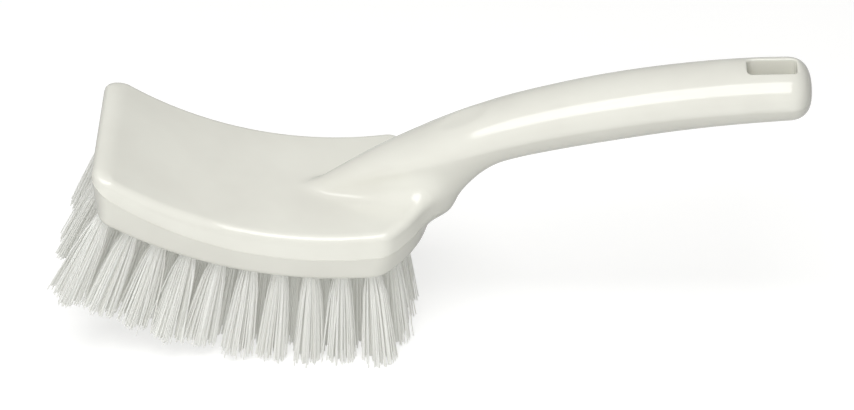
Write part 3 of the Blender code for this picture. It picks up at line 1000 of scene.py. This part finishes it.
def staple_wire(finish):
    """Drawn metal wire with fine drawing marks."""
    material, tree, shader = new_material("staple_wire")
    tint(tree, shader, noise(tree, 900.0, 2.0), finish.wire, [0.8 * c for c in finish.wire])
    set_inputs(shader, Metallic=1.0, Roughness=0.3)
    return material


def sight(tree, light):
    """1 for what the camera sees directly or through glass."""
    return calculate(tree, "MAXIMUM", light.outputs["Is Camera Ray"], light.outputs["Is Transmission Ray"])


def studio_floor(finish):
    """Pale floor that shows white to the camera and keeps the shadow."""
    material, tree, shader = new_material("studio_floor")
    tint(tree, shader, noise(tree, 6.0, 2.0), finish.floor, [0.98 * c for c in finish.floor])
    set_inputs(shader, Roughness=0.9, Specular_IOR_Level=0.1, Emission_Color=(1, 1, 1, 1))
    glow = ramp(tree, sight(tree, tree.nodes.new("ShaderNodeLightPath")), To_Min=0.16, To_Max=0.62)
    tree.links.new(glow, shader.inputs["Emission Strength"])
    return material


def studio_world():
    """White to the camera; as light, a pale wall behind the brush, dimmer in reflections."""
    world = bpy.data.worlds.new("studio")
    world.use_nodes = True
    tree = world.node_tree
    background = tree.nodes["Background"]
    set_inputs(background, Color=(1.0, 0.997, 0.985, 1))
    light = tree.nodes.new("ShaderNodeLightPath")
    behind = tree.nodes.new("ShaderNodeVectorMath")
    behind.operation = "DOT_PRODUCT"
    behind.inputs[1].default_value = (0, 1, 0)
    tree.links.new(tree.nodes.new("ShaderNodeTexCoord").outputs["Generated"], behind.inputs[0])
    share = ramp(tree, light.outputs["Is Glossy Ray"], To_Min=0.955, To_Max=0.233)
    wall = calculate(tree, "MULTIPLY", behind.outputs["Value"], share)
    strength = calculate(tree, "MAXIMUM", sight(tree, light), wall)
    tree.links.new(strength, background.inputs["Strength"])
    bpy.context.scene.world = world


# Operators

class BRUSH_OT_moulding(bpy.types.Operator):
    """Model the one-piece block and handle"""

    bl_idname = "brush.moulding"
    bl_label = "Moulding"

    def execute(self, context):
        settings = context.scene.brush
        block, handle = settings.block, settings.handle
        piece = make_block(block)
        grip = make_handle(handle)
        block_tree = BVHTree.FromObject(piece, context.evaluated_depsgraph_get())
        handle_tree = BVHTree.FromObject(grip, context.evaluated_depsgraph_get())
        cut(piece, grip, "UNION")
        edit_whole(piece, bpy.ops.mesh.quads_convert_to_tris)
        blend_joint(piece, block_tree, handle_tree, block, handle)
        cut(piece, make_slot_cutter(handle), "DIFFERENCE")
        cut(piece, make_drill(settings), "DIFFERENCE")
        edit_whole(piece, bpy.ops.mesh.remove_doubles, threshold=WELD_DISTANCE)
        bpy.ops.object.shade_smooth_by_angle(angle=MOULDING_SMOOTH_ANGLE)
        settle(piece, settings, glossy_moulding(settings.finish), ["brush_body"])
        return {"FINISHED"}


class BRUSH_OT_tufts(bpy.types.Operator):
    """Model every bristle tuft from copies of one filament"""

    bl_idname = "brush.tufts"
    bl_label = "Bristle tufts"

    def execute(self, context):
        settings = context.scene.brush
        filament = model_filament(settings.tuft)
        material = white_filament(settings.finish)
        for number, (name, place) in enumerate(tuft_places(settings)):
            piece = make_tuft(name + "_filaments", settings, filament, place, number)
            settle(piece, settings, material, [name])
        return {"FINISHED"}


class BRUSH_OT_anchors(bpy.types.Operator):
    """Model the wire anchors in the holes"""

    bl_idname = "brush.anchors"
    bl_label = "Wire anchors"

    def execute(self, context):
        settings = context.scene.brush
        anchors = copy_to_holes(make_anchor(settings.tuft), settings)
        anchors.name = "wire_anchors"
        settle(anchors, settings, staple_wire(settings.finish), [])
        return {"FINISHED"}


def add_lamp(name, place, power, width, height):
    """Add a rectangular lamp that faces straight down."""
    data = bpy.data.lights.new(name, "AREA")
    data.shape = "RECTANGLE"
    data.size = width
    data.size_y = height
    data.energy = power
    lamp = bpy.data.objects.new(name, data)
    lamp.location = place
    bpy.context.scene.collection.objects.link(lamp)
    return lamp


class BRUSH_OT_stage(bpy.types.Operator):
    """Set the floor, the lamps and the camera"""

    bl_idname = "brush.stage"
    bl_label = "Stage"

    def execute(self, context):
        floor = add_primitive(bpy.ops.mesh.primitive_plane_add, "studio_floor", size=FLOOR_SIZE)
        floor.data.materials.append(studio_floor(context.scene.brush.finish))
        studio_world()
        add_lamp("key_softbox", *KEY_SOFTBOX)
        for name, place, *power_and_size in FILLS:
            fill = add_lamp(name, place, *power_and_size)
            fill.rotation_euler = (FILL_TARGET - Vector(place)).to_track_quat("-Z", "Y").to_euler()
            fill.visible_glossy = False
        data = bpy.data.cameras.new("camera")
        data.sensor_width = SENSOR_WIDTH
        data.lens = SENSOR_WIDTH * FOCAL_PIXELS / PICTURE_PIXELS
        camera = bpy.data.objects.new("camera", data)
        level = math.cos(CAMERA_ELEVATION)
        back = Vector((math.sin(CAMERA_AZIMUTH) * level, -math.cos(CAMERA_AZIMUTH) * level,
                       math.sin(CAMERA_ELEVATION)))
        camera.location = CAMERA_TARGET + back * CAMERA_DISTANCE
        camera.rotation_euler = back.to_track_quat("Z", "Y").to_euler()
        context.scene.collection.objects.link(camera)
        context.scene.camera = camera
        context.scene.view_settings.view_transform = "Standard"
        return {"FINISHED"}


class BRUSH_PT_panel(bpy.types.Panel):
    """Lists the brush's steps"""

    bl_idname = "BRUSH_PT_panel"
    bl_label = "Cleaning brush"
    bl_space_type = "VIEW_3D"
    bl_region_type = "UI"
    bl_category = "Brush"

    def draw(self, context):
        for operator in (BRUSH_OT_moulding, BRUSH_OT_tufts, BRUSH_OT_anchors, BRUSH_OT_stage):
            self.layout.operator(operator.bl_idname)


CLASSES = (BlockSizes, HandleSizes, TuftSizes, StandSettings, FinishSettings, BrushSettings,
           BRUSH_OT_moulding, BRUSH_OT_tufts, BRUSH_OT_anchors, BRUSH_OT_stage, BRUSH_PT_panel)


def register():
    for kind in CLASSES:
        bpy.utils.register_class(kind)
    bpy.types.Scene.brush = PointerProperty(type=BrushSettings)


def unregister():
    del bpy.types.Scene.brush
    for kind in reversed(CLASSES):
        bpy.utils.unregister_class(kind)


def main():
    register()
    bpy.ops.brush.moulding()
    bpy.ops.brush.tufts()
    bpy.ops.brush.anchors()
    bpy.ops.brush.stage()


if __name__ == "__main__":
    main()
